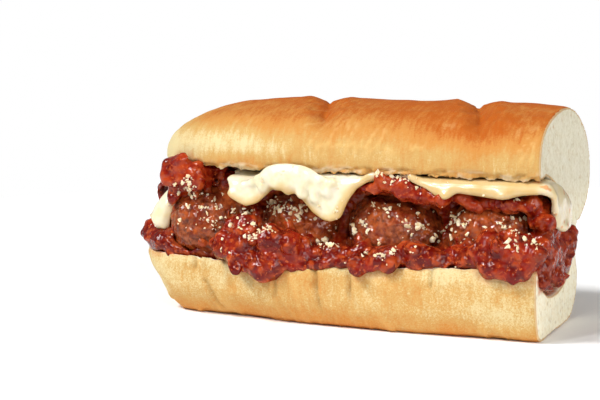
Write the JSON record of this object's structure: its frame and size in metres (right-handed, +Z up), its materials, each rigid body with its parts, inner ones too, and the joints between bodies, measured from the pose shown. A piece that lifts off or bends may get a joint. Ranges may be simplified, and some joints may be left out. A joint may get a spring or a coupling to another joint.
{
  "type": "submarine sandwich",
  "caption": "Cut half of a long soft roll, opened at the front and filled with meatballs, chunky tomato sauce, melted cheese slices and grated cheese.",
  "frame": {"origin": "on the surface that the roll lies on, under the middle of the roll's length", "axes": "+X along the roll from its round end to its cut end, -Y out of the open front, +Z up"},
  "size_m": [0.1565, 0.0847, 0.0758],
  "materials": {
    "crust": "satin baked crust",
    "crumb": "matt open crumb",
    "meat": "coarse, glazed",
    "melted_cheese": "glossy",
    "sauce": "wet, glossy",
    "grated_cheese": "matt"
  },
  "bodies": {
    "root": {"bun": "crust", "meatball_1": "meat", "meatball_2": "meat", "meatball_3": "meat", "meatball_4": "meat", "cheese_left": "melted_cheese", "cheese_right": "melted_cheese", "cheese_end": "melted_cheese", "sauce": "sauce"}
  },
  "joints": []
}
